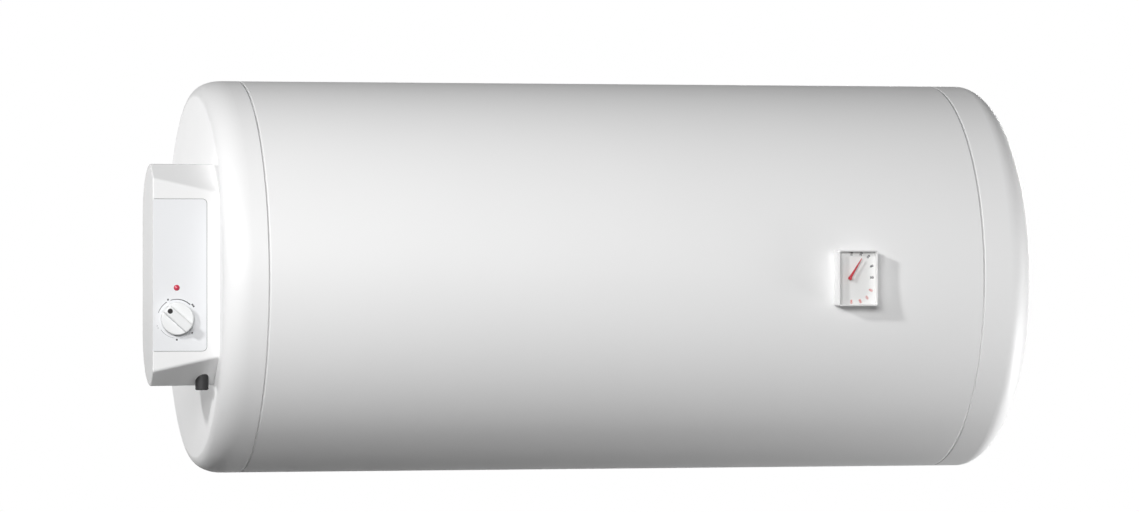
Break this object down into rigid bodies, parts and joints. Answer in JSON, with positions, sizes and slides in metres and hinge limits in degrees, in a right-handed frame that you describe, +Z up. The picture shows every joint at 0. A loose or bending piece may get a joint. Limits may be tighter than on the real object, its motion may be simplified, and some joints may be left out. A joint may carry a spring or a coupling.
{
  "type": "storage water heater",
  "caption": "Wall-hung electric storage water heater, a white insulated drum lying on its side, with a control box on one end and a dial thermometer.",
  "frame": {"origin": "centre of the four wall bolt slots, in the wall's plane", "axes": "+X along the drum towards its domed end, +Y into the wall, +Z up; the drum lies in front of the wall at negative Y"},
  "size_m": [1.0469, 0.48, 0.454],
  "materials": {
    "jacket_enamel": "gloss",
    "cap_plastic": "satin gloss",
    "cover_plastic": "satin",
    "panel_film": "matt",
    "knob_plastic": "satin",
    "black_print": "gloss",
    "red_lens": "clear gloss",
    "gauge_plastic": "satin",
    "gauge_clear": "polished",
    "dial_card": "matt",
    "needle_paint": "gloss",
    "brass": "turned",
    "copper": "drawn",
    "tank_enamel": "vitreous gloss",
    "foam": "open cell cut face",
    "zinc_steel": "zinc plated",
    "pipe_steel": "drawn",
    "black_rubber": "matt",
    "magnesium": "dull",
    "blue_plastic": "gloss",
    "red_plastic": "gloss",
    "white_nylon": "matt",
    "black_phenolic": "moulded",
    "cream_plastic": "moulded",
    "brown_sleeve": "satin",
    "blue_sleeve": "satin",
    "earth_sleeve": "satin",
    "black_sleeve": "satin"
  },
  "bodies": {
    "heater": {"anode_nut": "zinc_steel", "bracket_screws": "zinc_steel", "cable_gland": "black_rubber", "chassis_plate": "white_nylon", "component_plate": "zinc_steel", "control_cover": "cover_plastic", "control_end_cap": "cap_plastic", "control_panel": "panel_film", "cover_screws": "zinc_steel", "dome_end_cap": "cap_plastic", "element_terminals": "zinc_steel", "flange_gasket": "black_rubber", "flange_neck": "tank_enamel", "flange_nuts": "zinc_steel", "flange_studs": "zinc_steel", "foam_insulation": "foam", "gauge_dial": "dial_card", "gauge_housing": "gauge_plastic", "gauge_stem": "brass", "gauge_window": "gauge_clear", "hanger_posts": "zinc_steel", "heater_flange": "zinc_steel", "heating_elements": "copper", "inlet_diffuser": "white_nylon", "inlet_pipe": "pipe_steel", "inlet_ring": "blue_plastic", "lamp_body": "black_phenolic", "lamp_lens": "red_lens", "magnesium_anode": "magnesium", "outer_jacket": "jacket_enamel", "outlet_pipe": "pipe_steel", "outlet_ring": "red_plastic", "sensor_pocket": "copper", "service_cover": "cap_plastic", "service_screws": "zinc_steel", "tank_end_control": "tank_enamel", "tank_end_dome": "tank_enamel", "tank_shell": "tank_enamel", "terminal_block": "cream_plastic", "terminal_screws": "brass", "thermal_cutout": "black_phenolic", "thermostat_body": "black_phenolic", "thermostat_capillary": "copper", "wall_bracket_control": "zinc_steel", "wall_bracket_dome": "zinc_steel", "wire_earth": "earth_sleeve", "wire_links": "black_sleeve", "wire_live": "brown_sleeve", "wire_neutral": "blue_sleeve"},
    "knob": {"thermostat_knob": "knob_plastic", "thermostat_shaft": "zinc_steel", "knob_dot": "black_print"},
    "needle": {"gauge_needle": "needle_paint", "gauge_spindle": "brass"},
    "reset_button": {"reset_button": "red_plastic"}
  },
  "joints": [
    {"name": "thermostat_turn", "type": "hinge", "parent": "heater", "child": "knob", "pos_m": [-0.5165, -0.415, -0.046], "axis": [0, -1, 0], "range_deg": [-98, 180]},
    {"name": "needle_turn", "type": "hinge", "parent": "heater", "child": "needle", "pos_m": [0.2519, -0.4762, -0.001], "axis": [0, -1, 0], "range_deg": [-148, 32]},
    {"name": "reset_press", "type": "slide", "parent": "heater", "child": "reset_button", "axis": [0, 1, 0], "range_m": [0, 0.0015], "stiffness_N_per_m": 400, "springref_m": -0.002}
  ]
}
